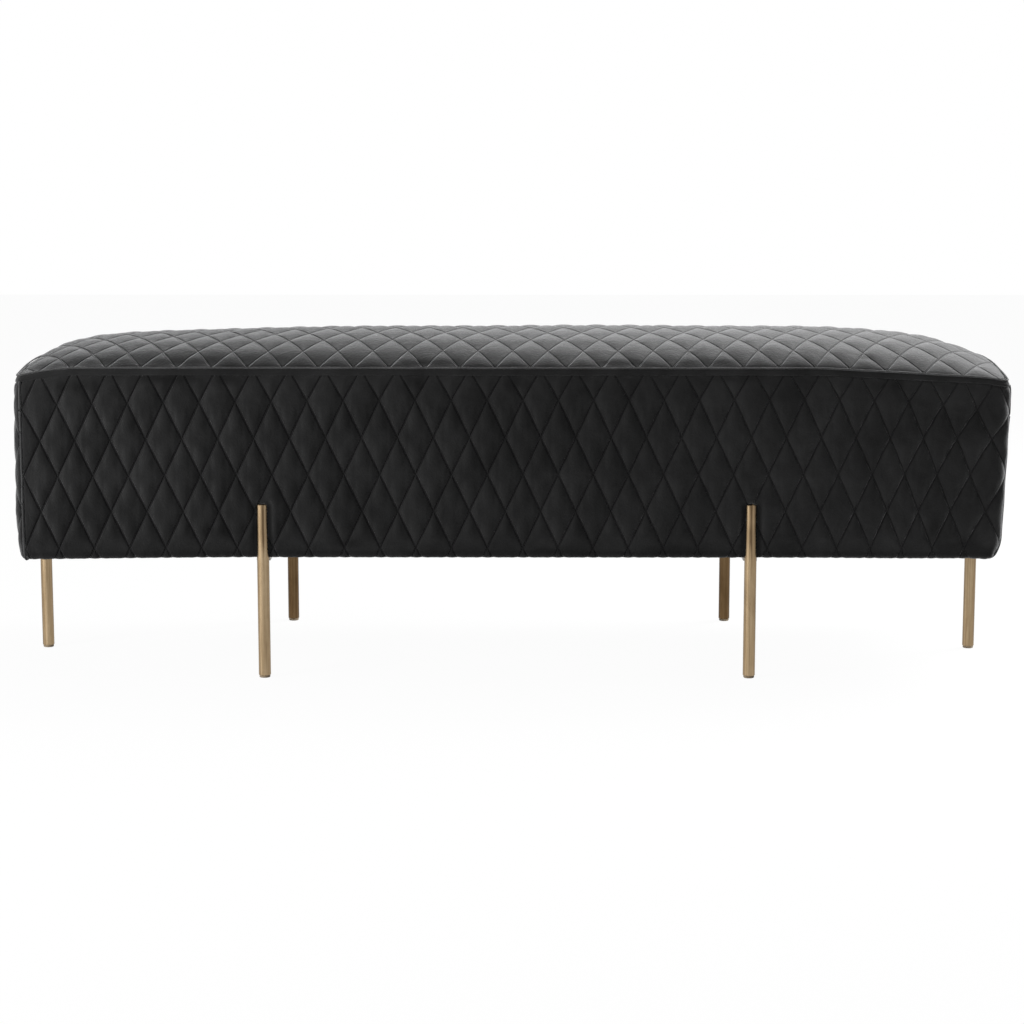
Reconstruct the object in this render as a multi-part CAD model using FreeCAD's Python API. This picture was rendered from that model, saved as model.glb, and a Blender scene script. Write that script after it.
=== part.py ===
import FreeCAD, Part
import math
import os

# Upholstered bench: a quilted block with a crowned top on six slim round legs.
# Millimetres, +Z up. The origin is on the floor under the middle of the bench.
# +X runs along the bench, -Y is the front that faces the viewer.

Vector = FreeCAD.Vector
UP = Vector(0, 0, 1)

# Legs
rod_radius = 8.0
rod_top = 231.0
foot_height = 3.0
foot_radius = 7.2
foot_stem_radius = 4.0
foot_stem_length = 10.0
front_leg_x = 320.0
side_leg_y = 197.0
end_leg_x = 646.0

# Timber box inside the block
box_half_length = 638.0
box_half_depth = 189.0
board = 15.0
base_board_bottom = 162.5
base_board_top = 174.5
deck_bottom = 355.0
deck_top = 367.0
corner_block = 40.0
cross_rail_width = 18.0
cross_rail_height = 120.0
cross_rail_x = (-320.0, 0.0, 320.0)

# Foam
side_foam = 8.0
foam_half_length = box_half_length + side_foam
foam_half_depth = box_half_depth + side_foam
seat_edge = 408.0
foam_crown = 35.5
foam_end_crown = 1.0
corner_drop = 16.0
level_share = 0.6
drop_from = 300.0
foam_stations = [0.0, 200.0, 340.0, 440.0, 520.0, 575.0, 615.0, foam_half_length]
strip_stations = (-1, -0.95, -0.87, -0.78, -0.6, 0.6, 0.78, 0.87, 0.95, 1)

# Quilted cover: the sewn lines cross every quilt_pitch along a row,
# and the rows of crossings are quilt_row apart
quilt_pitch = 46.06
quilt_row = 47.4
top_row = 46.5
side_crossing = -24.3
side_crossing_height = 363.8
top_crossing = -14.0
sewn_thickness = 3.5
side_puff = 4.0
top_puff = 2.4
pad_share = 0.66
edge_puff = 0.4
seam_draw = 24.0
flatness = 5e-8
cover_bottom = 161.0
band_height = 9.0
band_thickness = 5.0
side_trim = 3.0
top_overhang = 4.5
top_edge = 410.5
cover_crown = 38.6

# Underside
turned_edge = 34.0
dust_cover_thickness = 0.6
dust_cover_margin = 22.0
staple_width = 10.0
staple_wire = 0.8
staple_leg = 6.0
staple_columns = 12
staple_rows = 4

# Fasteners and brackets, in each leg's own frame: its axis at zero, inward along +X
bolt_height = 200.0
bolt_radius = 3.0
bolt_depth_in_rod = 5.0
bolt_head_radius = 5.5
bolt_head = 4.0
washer_radius = 8.0
washer = 1.5
bracket_start = 5.0
bracket_end = 80.0
bracket_width = 18.0
bracket_thickness = 5.0
gusset_length = 45.0
gusset_height = 12.0
gusset_thickness = 6.0
screw_radius = 2.0
screw_length = 16.0
screw_head_radius = 3.6
screw_head = 2.2
bracket_screw_x = (56.0, 71.0)
frame_screw_length = 40.0
frame_screw_heights = (200.0, 265.0, 330.0)

# Every leg: name, axis, and the turn that points its own +X inward
legs = [
    ("front_left", -front_leg_x, -side_leg_y, 90),
    ("front_right", front_leg_x, -side_leg_y, 90),
    ("rear_left", -front_leg_x, side_leg_y, 270),
    ("rear_right", front_leg_x, side_leg_y, 270),
    ("end_left", -end_leg_x, 0.0, 0),
    ("end_right", end_leg_x, 0.0, 180),
]


def block(x0, x1, y0, y1, z0, z1):
    """A rectangular block between two corners."""
    return Part.makeBox(x1 - x0, y1 - y0, z1 - z0, Vector(x0, y0, z0))


def slab(half_length, half_depth, z0, z1):
    """A board centred on the bench."""
    return block(-half_length, half_length, -half_depth, half_depth, z0, z1)


def rod(radius, z0, z1):
    """An upright cylinder at the origin."""
    return Part.makeCylinder(radius, z1 - z0, Vector(0, 0, z0), UP)


def lying_rod(radius, x0, x1, z):
    """A cylinder along X at height z."""
    return Part.makeCylinder(radius, x1 - x0, Vector(x0, 0, z), Vector(1, 0, 0))


def turned(shape, angle):
    copy = shape.copy()
    copy.rotate(Vector(0, 0, 0), UP, angle)
    return copy


def at_leg(shape, leg):
    """Copy a shape from a leg's own frame to that leg."""
    name, x, y, turn = leg
    copy = shape.copy()
    copy.rotate(Vector(0, 0, 0), UP, turn)
    copy.translate(Vector(x, y, 0))
    return copy


def at_all_legs(shape):
    return [at_leg(shape, leg) for leg in legs]


def export(name, shapes):
    """Write one node, a single solid or a group of separate ones."""
    if not isinstance(shapes, list):
        shapes = [shapes]
    shape = shapes[0] if len(shapes) == 1 else Part.makeCompound(shapes)
    shape.exportStep("parts/" + name + ".step")
    print("%-20s %3d solids %5d faces %12.1f mm3 valid %s" % (
        name, len(shape.Solids), len(shape.Faces), shape.Volume, shape.isValid()))


def clip(points, axis, limit, side):
    """Keep the part of a (u, v, h) polygon on one side of a line of constant u or v."""
    kept = []
    for index, here in enumerate(points):
        before = points[index - 1]
        here_in = side * (here[axis] - limit) >= -1e-9
        before_in = side * (before[axis] - limit) >= -1e-9
        if here_in != before_in:
            share = (limit - before[axis]) / (here[axis] - before[axis])
            crossing = [b + share * (a - b) for a, b in zip(here, before)]
            crossing[axis] = limit
            kept.append(tuple(crossing))
        if here_in:
            kept.append(here)
    distinct = []
    for index, point in enumerate(kept):
        if math.dist(point, kept[index - 1]) > 1e-6:
            distinct.append(point)
    return distinct


def flat_faces(points):
    """One face where the corners lie in a plane, or else a fan of triangles."""
    normal = (points[1] - points[0]).cross(points[2] - points[0]).normalize()
    if all(abs(normal.dot(point - points[0])) < flatness for point in points):
        return [Part.Face(Part.makePolygon(points + points[:1]))]
    faces = []
    for second, third in zip(points[1:], points[2:]):
        faces.append(Part.Face(Part.makePolygon([points[0], second, third, points[0]])))
    return faces


def diamond_patches(u, v, row, puff):
    """The pad of one quilt diamond and the four slopes down to its sewn lines."""
    corners = [(u - quilt_pitch / 2, v), (u, v - row), (u + quilt_pitch / 2, v), (u, v + row)]
    low = [(cu, cv, 0.0) for cu, cv in corners]
    high = [(u + pad_share * (cu - u), v + pad_share * (cv - v), puff) for cu, cv in corners]
    patches = [high]
    for index in range(4):
        after = (index + 1) % 4
        patches.append([low[index], low[after], high[after], high[index]])
    return patches


def diamond_centres(u_range, v_range, crossing, row):
    """The middle of every quilt diamond that reaches into the panel."""
    half_pitch = quilt_pitch / 2
    first_column = math.floor((u_range[0] - crossing[0]) / half_pitch) - 1
    last_column = math.ceil((u_range[1] - crossing[0]) / half_pitch) + 1
    first_line = math.floor((v_range[0] - crossing[1]) / row) - 1
    last_line = math.ceil((v_range[1] - crossing[1]) / row) + 1
    for column in range(first_column, last_column + 1):
        for line in range(first_line, last_line + 1):
            if (column + line) % 2:
                yield crossing[0] + column * half_pitch, crossing[1] + line * row


def quilted_panel(u_range, v_range, crossing, row, puff_height, place, place_back):
    """A closed quilted panel: diamond pads outside, a flat back and straight edges.

    `place` puts a point (u, v, h) of the outside in space, and `place_back` one of the back.
    """
    limits = [(0, u_range[0], 1), (0, u_range[1], -1), (1, v_range[0], 1), (1, v_range[1], -1)]

    def on_one_edge(first, second):
        return any(abs(first[axis] - limit) < 1e-9 and abs(second[axis] - limit) < 1e-9
                   for axis, limit, side in limits)

    faces = []
    rim = {}
    for u, v in diamond_centres(u_range, v_range, crossing, row):
        room = min(u - u_range[0], u_range[1] - u, v - v_range[0], v_range[1] - v)
        drawn = max(0.0, min(1.0, room / seam_draw))
        puff = puff_height * (edge_puff + (1 - edge_puff) * drawn)
        for patch in diamond_patches(u, v, row, puff):
            for axis, limit, side in limits:
                patch = clip(patch, axis, limit, side)
            if len(patch) < 3:
                continue
            faces += flat_faces([place(*point) for point in patch])
            for first, second in zip(patch, patch[1:] + patch[:1]):
                if on_one_edge(first, second):
                    wall = [place(*first), place(*second)]
                    wall += [place_back(*second[:2]), place_back(*first[:2])]
                    faces.append(Part.Face(Part.makePolygon(wall + wall[:1])))
                    for point in (first, second):
                        rim[round(point[0], 4), round(point[1], 4)] = point[:2]
    middle_u = sum(u_range) / 2
    middle_v = sum(v_range) / 2
    aspect = (v_range[1] - v_range[0]) / (u_range[1] - u_range[0])
    around = sorted(rim.values(), key=lambda point: math.atan2(
        point[1] - middle_v, (point[0] - middle_u) * aspect))
    back = [place_back(*point) for point in around]
    faces.append(Part.Face(Part.makePolygon(back + back[:1])))
    sewn = Part.Compound(faces)
    sewn.sewShape()
    solid = Part.Solid(sewn.Shells[0])
    if solid.Volume < 0:
        solid.reverse()
    return solid


def end_fall(x):
    """How the crown falls away towards the ends, from 1 in the middle to 0."""
    share = min(1.0, abs(x) / (foam_half_length + top_overhang))
    return 1 - 0.35 * share ** 4 - 0.65 * share ** 14


def edge_fall(y):
    """How the crown falls away towards the front and rear edges."""
    share = min(1.0, abs(y) / (foam_half_depth + top_overhang))
    return 1 - share ** 2.3


def edge_drop(x, y):
    """How far the sewn edge round the top sinks towards the four corners."""
    along = min(1.0, abs(x) / foam_half_length)
    across = min(1.0, abs(y) / foam_half_depth)
    near_end = max(0.0, (along - level_share) / (1 - level_share))
    return corner_drop * near_end ** 2.5 * across ** 2


def front_drop(x):
    return edge_drop(x, foam_half_depth)


def end_drop(y):
    return edge_drop(foam_half_length, y)


def make_seat_foam():
    """The crowned seat foam: arcs across the bench, joined along it."""
    sections = []
    for x in sorted([-station for station in foam_stations[1:]] + foam_stations):
        crown = foam_end_crown + (foam_crown - foam_end_crown) * end_fall(x)
        edge = seat_edge - front_drop(x)
        front_low = Vector(x, -foam_half_depth, deck_top)
        front_edge = Vector(x, -foam_half_depth, edge)
        apex = Vector(x, 0, seat_edge + crown)
        rear_edge = Vector(x, foam_half_depth, edge)
        rear_low = Vector(x, foam_half_depth, deck_top)
        sections.append(Part.Wire([
            Part.makeLine(front_low, front_edge),
            Part.Arc(front_edge, apex, rear_edge).toShape(),
            Part.makeLine(rear_edge, rear_low),
            Part.makeLine(rear_low, front_low),
        ]))
    return Part.makeLoft(sections, True, True)


def edge_strip(half_width, back, drop, offset, height, thickness):
    """One side of a strip that follows the sewn edge, `offset` below it."""
    sections = []
    for share in strip_stations:
        u = half_width * share
        high = seat_edge - drop(u) - offset
        low = high - height
        corners = [Vector(u, -back, low), Vector(u, -back - thickness, low),
                   Vector(u, -back - thickness, high), Vector(u, -back, high)]
        sections.append(Part.makePolygon(corners + corners[:1]))
    return Part.makeLoft(sections, True, True)


def edge_ring(offset, height, thickness):
    """A strip all round the block that sinks with the sewn edge at the corners."""
    long_strip = edge_strip(foam_half_length + thickness, foam_half_depth, front_drop,
                            offset, height, thickness)
    short_strip = edge_strip(foam_half_depth, foam_half_length, end_drop,
                             offset, height, thickness)
    others = [turned(short_strip, 90), turned(long_strip, 180), turned(short_strip, 270)]
    return long_strip.fuse(others).removeSplitter()


def make_cover_top(foam, band):
    """The quilted top: it follows the crown and lies on the seat foam."""
    half_length = foam_half_length + top_overhang
    half_depth = foam_half_depth + top_overhang

    def place(x, y, h):
        crown = cover_crown * end_fall(x) * edge_fall(y)
        return Vector(x, y, top_edge + crown - edge_drop(x, y) + h)

    def place_back(x, y):
        return Vector(x, y, seat_edge - corner_drop)

    crossing = (top_crossing, -foam_half_depth)
    panel = quilted_panel((-half_length, half_length), (-half_depth, half_depth),
                          crossing, top_row, top_puff, place, place_back)
    below_band = edge_ring(band_height, 2 * corner_drop, top_overhang + 1)
    pieces = panel.cut([foam, band, below_band]).Solids
    return max(pieces, key=lambda piece: piece.Volume)


def make_side_cover(half_width, back, drop):
    """A quilted side panel facing -Y, its back at distance `back` from the middle.

    It reaches up behind the band, where it is trimmed to the band's lower edge.
    """
    band_bottom = seat_edge - band_height

    def height(x, z):
        share = max(0.0, (z - drop_from) / (band_bottom - drop_from))
        return z - drop(x) * share

    def place(x, z, h):
        return Vector(x, -back - sewn_thickness - h, height(x, z))

    def place_back(x, z):
        return Vector(x, -back, height(x, z))

    crossing = (side_crossing, side_crossing_height)
    return quilted_panel((-half_width, half_width), (cover_bottom, band_bottom + side_trim),
                         crossing, quilt_row, side_puff, place, place_back)


def make_bracket():
    """A flat steel foot plate with a gusset, welded to the back of the rod."""
    top = cover_bottom - dust_cover_thickness
    half = bracket_width / 2
    plate = block(bracket_start, bracket_end, -half, half, top - bracket_thickness, top)
    low = top - bracket_thickness
    outline = [Vector(0, -gusset_thickness / 2, low), Vector(gusset_length, -gusset_thickness / 2, low),
               Vector(0, -gusset_thickness / 2, low - gusset_height)]
    gusset = Part.Face(Part.makePolygon(outline + outline[:1])).extrude(Vector(0, gusset_thickness, 0))
    return plate.fuse(gusset).removeSplitter().cut(rod(rod_radius, 0, rod_top))


def make_bracket_screws():
    top = cover_bottom - dust_cover_thickness - bracket_thickness
    screws = []
    for x in bracket_screw_x:
        place = Vector(x, 0, top)
        shank = Part.makeCylinder(screw_radius, screw_length, place, UP)
        head = Part.makeCylinder(screw_head_radius, screw_head, place - UP * screw_head, UP)
        screws.append(shank.fuse(head).removeSplitter())
    return screws


def make_bolt():
    """The bolt that draws the rod against the box, from inside the box."""
    inner = rod_radius + board
    shank = lying_rod(bolt_radius, rod_radius - bolt_depth_in_rod, inner + washer, bolt_height)
    head = lying_rod(bolt_head_radius, inner + washer, inner + washer + bolt_head, bolt_height)
    return shank.fuse(head).removeSplitter()


def make_washer():
    inner = rod_radius + board
    disc = lying_rod(washer_radius, inner, inner + washer, bolt_height)
    return disc.cut(lying_rod(bolt_radius, inner - 1, inner + washer + 1, bolt_height))


def make_rod():
    """A solid round bar, bored at the foot and tapped for the bolt."""
    bar = rod(rod_radius, foot_height, rod_top)
    rims = [edge for edge in bar.Edges if edge.Closed]
    bar = bar.makeChamfer(0.7, rims)
    bore = rod(foot_stem_radius, foot_height, foot_height + foot_stem_length)
    hole = lying_rod(bolt_radius, rod_radius - bolt_depth_in_rod, rod_radius + 1, bolt_height)
    return bar.cut(bore).cut(hole)


def make_foot():
    """A nylon glide plugged into the rod."""
    disc = rod(foot_radius, 0, foot_height)
    disc = disc.makeChamfer(0.6, [disc.Edges[2]])
    return disc.fuse(rod(foot_stem_radius, foot_height, foot_height + foot_stem_length)).removeSplitter()


def make_frame_screws():
    """Screws through the long boards into the corner blocks."""
    screws = []
    for side_x in (-1, 1):
        for side_y in (-1, 1):
            for height in frame_screw_heights:
                x = side_x * (box_half_length - board - corner_block / 2)
                face = Vector(x, side_y * box_half_depth, height)
                inward = Vector(0, -side_y, 0)
                shank = Part.makeCylinder(screw_radius, frame_screw_length, face, inward)
                head = Part.makeCone(screw_head_radius, screw_radius, screw_head, face, inward)
                screws.append(shank.fuse(head).removeSplitter())
    return screws


def make_staple():
    """One staple, its crown below the dust cover and its legs up into the base board."""
    low = cover_bottom - dust_cover_thickness
    half = staple_width / 2
    wire = staple_wire / 2
    crown = block(-half, half, -wire, wire, low - staple_wire, low)
    left = block(-half, -half + staple_wire, -wire, wire, low, low + staple_leg)
    right = block(half - staple_wire, half, -wire, wire, low, low + staple_leg)
    return crown.fuse([left, right]).removeSplitter()


def make_staples():
    """A row of staples round the edge of the dust cover, clear of the brackets."""
    inset = dust_cover_margin + 8
    half_x = foam_half_length - inset
    half_y = foam_half_depth - inset
    staple = make_staple()
    staples = []
    for side in (-1, 1):
        for index in range(staple_columns):
            x = -half_x + (index + 0.5) * 2 * half_x / staple_columns
            copy = staple.copy()
            copy.translate(Vector(x, side * half_y, 0))
            staples.append(copy)
        for index in range(staple_rows):
            y = -half_y + (index + 0.5) * 2 * half_y / staple_rows
            copy = turned(staple, 90)
            copy.translate(Vector(side * half_x, y, 0))
            staples.append(copy)
    return staples


os.makedirs("parts", exist_ok=True)

bracket = make_bracket()
bolt = make_bolt()
bolts = at_all_legs(bolt)
bracket_screws = [at_leg(screw, leg) for leg in legs for screw in make_bracket_screws()]
frame_screws = make_frame_screws()
staples = make_staples()
rod_shapes = at_all_legs(rod(rod_radius, 0, rod_top))

# Legs, feet and brackets
screw_holes = make_bracket_screws()
for leg in legs:
    export("leg_" + leg[0], at_leg(make_rod(), leg))
    export("foot_" + leg[0], at_leg(make_foot(), leg))
    export("bracket_" + leg[0], at_leg(bracket.cut(screw_holes), leg))
export("leg_bolts", bolts)
export("leg_washers", at_all_legs(make_washer()))
export("bracket_screws", bracket_screws)

# Timber box
inner_length = box_half_length - board
inner_depth = box_half_depth - board
base_board = slab(box_half_length, box_half_depth, base_board_bottom, base_board_top)
export("base_board", base_board.cut(bracket_screws + staples))
export("deck_board", slab(box_half_length, box_half_depth, deck_bottom, deck_top))
for name, side in (("front", -1), ("rear", 1)):
    y0, y1 = sorted((side * inner_depth, side * box_half_depth))
    panel = block(-box_half_length, box_half_length, y0, y1, base_board_top, deck_bottom)
    export("side_board_" + name, panel.cut(bolts + frame_screws))
for name, side in (("left", -1), ("right", 1)):
    x0, x1 = sorted((side * inner_length, side * box_half_length))
    panel = block(x0, x1, -inner_depth, inner_depth, base_board_top, deck_bottom)
    export("end_board_" + name, panel.cut(bolts))
for row_name, side_y in (("front", -1), ("rear", 1)):
    for name, side_x in (("left", -1), ("right", 1)):
        x0, x1 = sorted((side_x * inner_length, side_x * (inner_length - corner_block)))
        y0, y1 = sorted((side_y * inner_depth, side_y * (inner_depth - corner_block)))
        post = block(x0, x1, y0, y1, base_board_top, deck_bottom)
        export("corner_block_" + row_name + "_" + name, post.cut(frame_screws))
for name, x in zip(("left", "middle", "right"), cross_rail_x):
    half = cross_rail_width / 2
    export("cross_rail_" + name, block(x - half, x + half, -inner_depth, inner_depth,
                                       deck_bottom - cross_rail_height, deck_bottom))
export("frame_screws", frame_screws)

# Foam
for name, side in (("front", -1), ("rear", 1)):
    y0, y1 = sorted((side * box_half_depth, side * foam_half_depth))
    sheet = block(-box_half_length, box_half_length, y0, y1, base_board_bottom, deck_top)
    export("side_foam_" + name, sheet.cut(rod_shapes))
for name, side in (("left", -1), ("right", 1)):
    x0, x1 = sorted((side * box_half_length, side * foam_half_length))
    sheet = block(x0, x1, -foam_half_depth, foam_half_depth, base_board_bottom, deck_top)
    export("end_foam_" + name, sheet.cut(rod_shapes))
seat_foam = make_seat_foam()
export("seat_foam", seat_foam)

# Quilted cover
band = edge_ring(0, band_height, band_thickness)
export("cover_band", band)
trim = edge_ring(0, band_height, 3 * band_thickness)
long_panel = make_side_cover(foam_half_length, foam_half_depth, front_drop)
short_panel = make_side_cover(foam_half_depth, foam_half_length, end_drop)
for name, panel, angle in (("front", long_panel, 0), ("rear", long_panel, 180),
                           ("end_left", short_panel, 270), ("end_right", short_panel, 90)):
    export("cover_" + name, turned(panel, angle).cut(rod_shapes + [trim]))
export("cover_top", make_cover_top(seat_foam, band))

# Underside: the cover's turned edge, then the dust cover stapled over it
turned_cloth = slab(foam_half_length, foam_half_depth, cover_bottom, base_board_bottom)
window = slab(foam_half_length - turned_edge, foam_half_depth - turned_edge,
              cover_bottom, base_board_bottom)
export("cover_turned_edge", turned_cloth.cut([window] + rod_shapes + bracket_screws + staples))
dust_cover = slab(foam_half_length - dust_cover_margin, foam_half_depth - dust_cover_margin,
                  cover_bottom - dust_cover_thickness, cover_bottom)
export("dust_cover", dust_cover.cut(bracket_screws + staples))
export("dust_cover_staples", staples)
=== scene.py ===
import math

import bmesh
import bpy
import numpy as np
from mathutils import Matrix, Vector


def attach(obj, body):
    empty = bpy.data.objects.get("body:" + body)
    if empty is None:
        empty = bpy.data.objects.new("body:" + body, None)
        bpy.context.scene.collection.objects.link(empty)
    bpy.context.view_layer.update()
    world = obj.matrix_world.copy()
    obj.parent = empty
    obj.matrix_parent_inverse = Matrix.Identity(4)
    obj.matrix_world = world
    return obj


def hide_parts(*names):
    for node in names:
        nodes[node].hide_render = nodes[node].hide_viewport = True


# Upholstered bench in quilted velvet on six slim metal legs.
# Shapes are worked out in millimetres and put into the scene in metres.

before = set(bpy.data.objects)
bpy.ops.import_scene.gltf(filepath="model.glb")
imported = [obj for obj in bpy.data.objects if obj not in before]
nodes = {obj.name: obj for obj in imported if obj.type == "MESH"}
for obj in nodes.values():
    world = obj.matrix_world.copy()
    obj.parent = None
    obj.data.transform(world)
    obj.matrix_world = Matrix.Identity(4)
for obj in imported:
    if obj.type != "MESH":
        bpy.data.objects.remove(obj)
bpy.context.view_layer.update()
scene = bpy.context.scene
MM = 0.001

# The block in plan, and its heights
HALF_LENGTH = 644.0
HALF_DEPTH = 200.4
CORNER = 12.0
BOTTOM = 160.7
ROUND = 5.0
BAND_LOW = 400.3
SEAM = 409.6
SEAM_INSET = 5.0
TOP_HALF_LENGTH = HALF_LENGTH - SEAM_INSET
TOP_HALF_DEPTH = HALF_DEPTH - SEAM_INSET

# The top's dome, and how it differs from an even one
CROWN = 39.2
PEAK_ROUND = 0.1
TOP_TILT = 1.3
LEFT_HOLLOW = 1.6
RIGHT_SWELL = 1.6
END_SHOULDER = 3.5
ROW_SPREAD = 0.016

# How the upholstery gives: the seam drops, the hem sags and tucks in, and the faces swell and lean
LEFT_SEAM_DROP = 11.0
RIGHT_SEAM_DROP = 14.6
RIGHT_CORNER_DROP = 3.0
LEFT_HEM_SAG = 3.3
RIGHT_HEM_SAG = 0.8
HEM_TUCK = 1.0
RIGHT_HEM_TUCK = 8.0
LEFT_HEM_TUCK = 0.9
LEFT_MIDDLE_TUCK = 6.6
CORNER_HEM_TUCK = 5.0
LEFT_END_SWELL = 6.0
LEFT_CORNER_TUCK = 2.6
RIGHT_END_SHIFT = 3.3
RIGHT_END_LEAN = 8.0
RIGHT_END_SWELL = 2.0
SIDE_SWELL = 2.0
FOLD_HEIGHT = 0.6

# The quilting: a diamond's width, half its height, the mesh steps along its side, and a stitch's length
PITCH = 46.06
ROW = 47.4
CELLS = 10
DIAMOND_SIDE = math.hypot(PITCH / 2, ROW)
LINE_GAP = PITCH * ROW / DIAMOND_SIDE
STITCH = 3.2

# The sheets' limits in mesh steps from a crossing of sewn lines, and where that crossing lies
LONG_COLUMNS = (-261, 303)
WALL_ROWS = (-49, 8)
SIDE_CROSSING = (-24.3, 363.8)
TOP_COLUMNS = (-271, 284)
TOP_ROWS = (0, 84)
TOP_CROSSING = (-15.0, -TOP_HALF_DEPTH)

# How far a diamond stands out before it is swelled, and how full and how thin at the edges its pillow is
SIDE_PUFF = 5.0
END_PUFF = 4.0
TOP_PUFF = 2.6
WALL_FULLNESS = 3.2
TOP_FULLNESS = 2.3
EDGE_FADE = 26.0
CORNER_FADE = 22.0
THIN_ABOVE = 0.2
THIN_BELOW = 0.12

# Swelling: pressure, how far a point may move in mm, and the share of cloth to spare
WALL_SWELLING = (4.0, 3.0, 0.008)
TOP_SWELLING = (1.5, 0.5, 0.0)
SWELLING_FRAMES = 16

# The legs' axes and radius, and how the cloth lies round them
ROD = 8.0
ROD_TOP = 231.0
RODS = [(-320, -197), (320, -197), (-320, 197), (320, 197), (-646, 0), (646, 0)]
ROD_GAP = 0.35
WRAP_HALF_WIDTH = 5.9
WRAP_ANGLE = math.radians(134.7)
WRAP_DEPTH = 14
DIP_DEPTH = 1.6
DIP_REACH = 30
ROD_REACH = 40

# How far the long sides' rows are drawn up, by place along the block
UPPER_PLACES = [-640, -450, -150, 300, 430, 520, 560, 610]
UPPER_LIFTS = [-2.6, 1.0, 4.8, 5.5, 6.5, 6.5, 4, -2.6]
LOWER_PLACES = [-640, -450, -150, 640]
LOWER_LIFTS = [-2.6, 0.5, 3.6, 3.6]

# Darker spots on the sides, and dents in the top with painted shade in them: middle along the block, height
# or gap from the seam, half sizes, and depth
SIDE_SPOTS = [(-442, 396, 42, 6, 0.9), (-365, 395, 14, 7, 0.7), (-120, 392, 12, 9, 0.6), (8, 391, 12, 8, 0.6),
              (300, 397, 50, 5, 0.5), (505, 392, 8, 7, 0.7), (-560, 386, 30, 8, 0.6), (-380, 196, 26, 7, 0.6),
              (-210, 180, 22, 6, 0.7), (60, 171, 30, 5, 0.6), (220, 172, 40, 5, 0.5), (590, 178, 30, 8, 0.6),
              (470, 240, 10, 12, 0.4), (610, 345, 16, 22, 0.4), (556, 200, 8, 13, 0.7), (543, 186, 9, 6, 0.5)]
TOP_DENTS = [(-100, 9, 38, 9, 1), (150, 9, 34, 8, 1), (260, 8, 40, 8, 0.8),
             (-420, 9, 45, 9, 1), (-560, 10, 60, 12, 0.8), (470, 30, 10, 8, 0.6)]

straight = HALF_LENGTH - CORNER
short = HALF_DEPTH - CORNER
turn = math.pi * CORNER / 2
half_loop = 2 * (straight + short + turn)


def smooth(t):
    """From 0 to 1, without a kink at either end."""
    t = np.clip(t, 0.0, 1.0)
    return t * t * (3 - 2 * t)


def past(value, start, span):
    """How far `value` is past `start`, as a share of `span` from 0 to 1."""
    return np.clip((value - start) / span, 0.0, 1.0)


def below(value, limit, span):
    """How far `value` is below `limit`, as a share of `span` from 0 to 1."""
    return np.clip((limit - value) / span, 0.0, 1.0)


def spot(gap, reach, power=2):
    """1 where `gap` is 0, fading over `reach`."""
    return np.exp(-(gap / reach) ** power)


def mid_depth(y):
    """1 in the middle of the block's depth, fading to 0 at its front and rear."""
    return np.clip(1 - (y / 200) ** 2, 0, 1)


# The block's faces

def wall_line(s):
    """Plan point and outward direction, `s` mm anticlockwise from the front's middle."""
    t = np.mod(s + straight, 2 * half_loop)
    sign = np.where(t >= half_loop, -1.0, 1.0)
    t = np.mod(t, half_loop)
    first = np.clip(t - 2 * straight, 0, turn) / CORNER
    along_end = np.clip(t - 2 * straight - turn, 0, 2 * short)
    second = np.clip(t - 2 * straight - turn - 2 * short, 0, turn) / CORNER
    angle = first + second
    nx, ny = np.sin(angle), -np.cos(angle)
    x = -straight + np.clip(t, 0, 2 * straight) + CORNER * nx
    y = -short + along_end + CORNER * ny
    return sign * x, sign * y, sign * nx, sign * ny


def gap_round(s, place):
    """The distance round the block from `place`, to either side."""
    return np.mod(s - place + half_loop, 2 * half_loop) - half_loop


def rod_place(rod_x, rod_y):
    """How far round the block a leg stands."""
    if rod_y == 0:
        return half_loop / 2 if rod_x > 0 else 1.5 * half_loop
    return rod_x if rod_y < 0 else half_loop - rod_x


def seam_drop(x, y):
    """How far the sewn top edge sinks towards the corners."""
    left = LEFT_SEAM_DROP * np.clip((-x - 560) / 80, 0, 1.15) ** 1.6
    right = RIGHT_SEAM_DROP * past(x, 400, 250) ** 1.2 + RIGHT_CORNER_DROP * smooth((x - 605) / 40)
    return (left + right) * past(np.abs(y), 0, 196) ** 2


def hem_sag(x, y):
    """How far the bottom edge hangs down towards the corners."""
    left = LEFT_HEM_SAG * past(-x, 340, 290) ** 1.3
    right = RIGHT_HEM_SAG * past(x, 400, 120)
    return (left + right) * smooth((np.abs(y) - 110) / 60)


def warp(x, y, z):
    """The upholstery's unevenness: the faces swell and the right end leans out."""
    end = smooth((np.abs(x) - 470) / 170)
    rise = np.clip((z - 161) / 220, 0, 1.05)
    left = -end * (LEFT_END_SWELL * mid_depth(y) - LEFT_CORNER_TUCK)
    right = end * (RIGHT_END_SHIFT + RIGHT_END_LEAN * rise + RIGHT_END_SWELL * mid_depth(y))
    side = smooth((np.abs(y) - 120) / 75) * (1 - 0.5 * past(np.abs(x), 0, HALF_LENGTH) ** 6)
    return x + np.where(x < 0, left, right), y + np.sign(y) * SIDE_SWELL * side, z


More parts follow.
